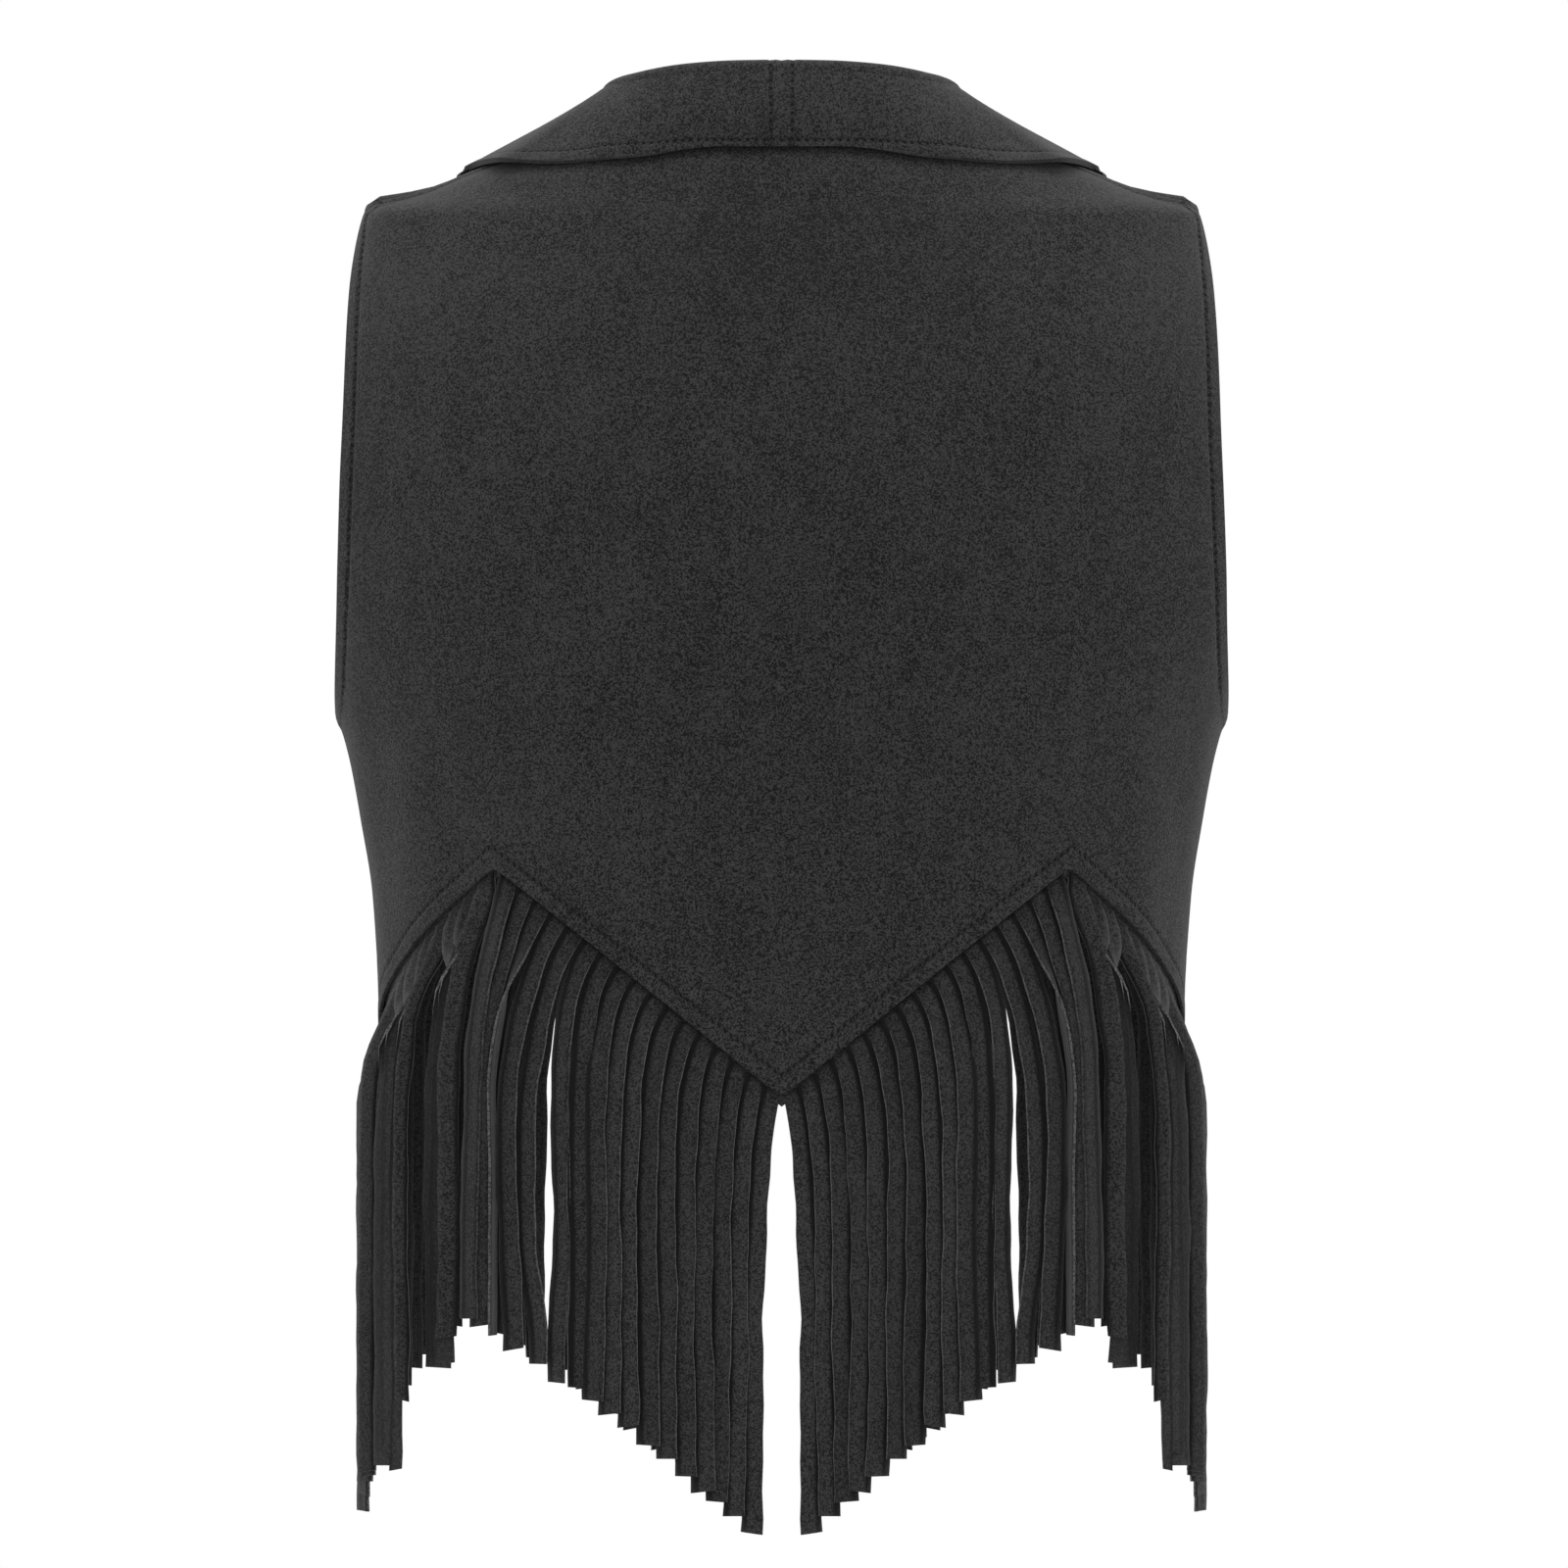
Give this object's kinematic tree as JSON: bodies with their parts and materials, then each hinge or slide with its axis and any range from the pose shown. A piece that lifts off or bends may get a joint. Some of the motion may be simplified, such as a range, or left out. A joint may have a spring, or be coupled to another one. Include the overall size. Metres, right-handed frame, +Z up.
{
  "type": "western vest",
  "caption": "Sleeveless faux-suede western vest, open in front, with a shawl collar, a zigzag hem and long cut fringe all round, filled out as if worn.",
  "frame": {"origin": "midway between the shoulder tips, at their height, where the wearer's shoulders carry the vest", "axes": "+Z up, -Y the back, +Y the wearer's front, +X the wearer's right"},
  "size_m": [0.3838, 0.2381, 0.6332],
  "materials": {
    "suede": "charcoal-black brushed microfibre faux suede, matte with a short mottled nap",
    "fringe_suede": "the same faux suede cut into strips, a shade darker in its folds"
  },
  "bodies": {
    "root": {"back": "suede", "front_right": "suede", "front_left": "suede", "collar_right": "suede", "collar_left": "suede", "fringe_back": "fringe_suede", "fringe_front_right": "fringe_suede", "fringe_front_left": "fringe_suede"}
  },
  "joints": []
}
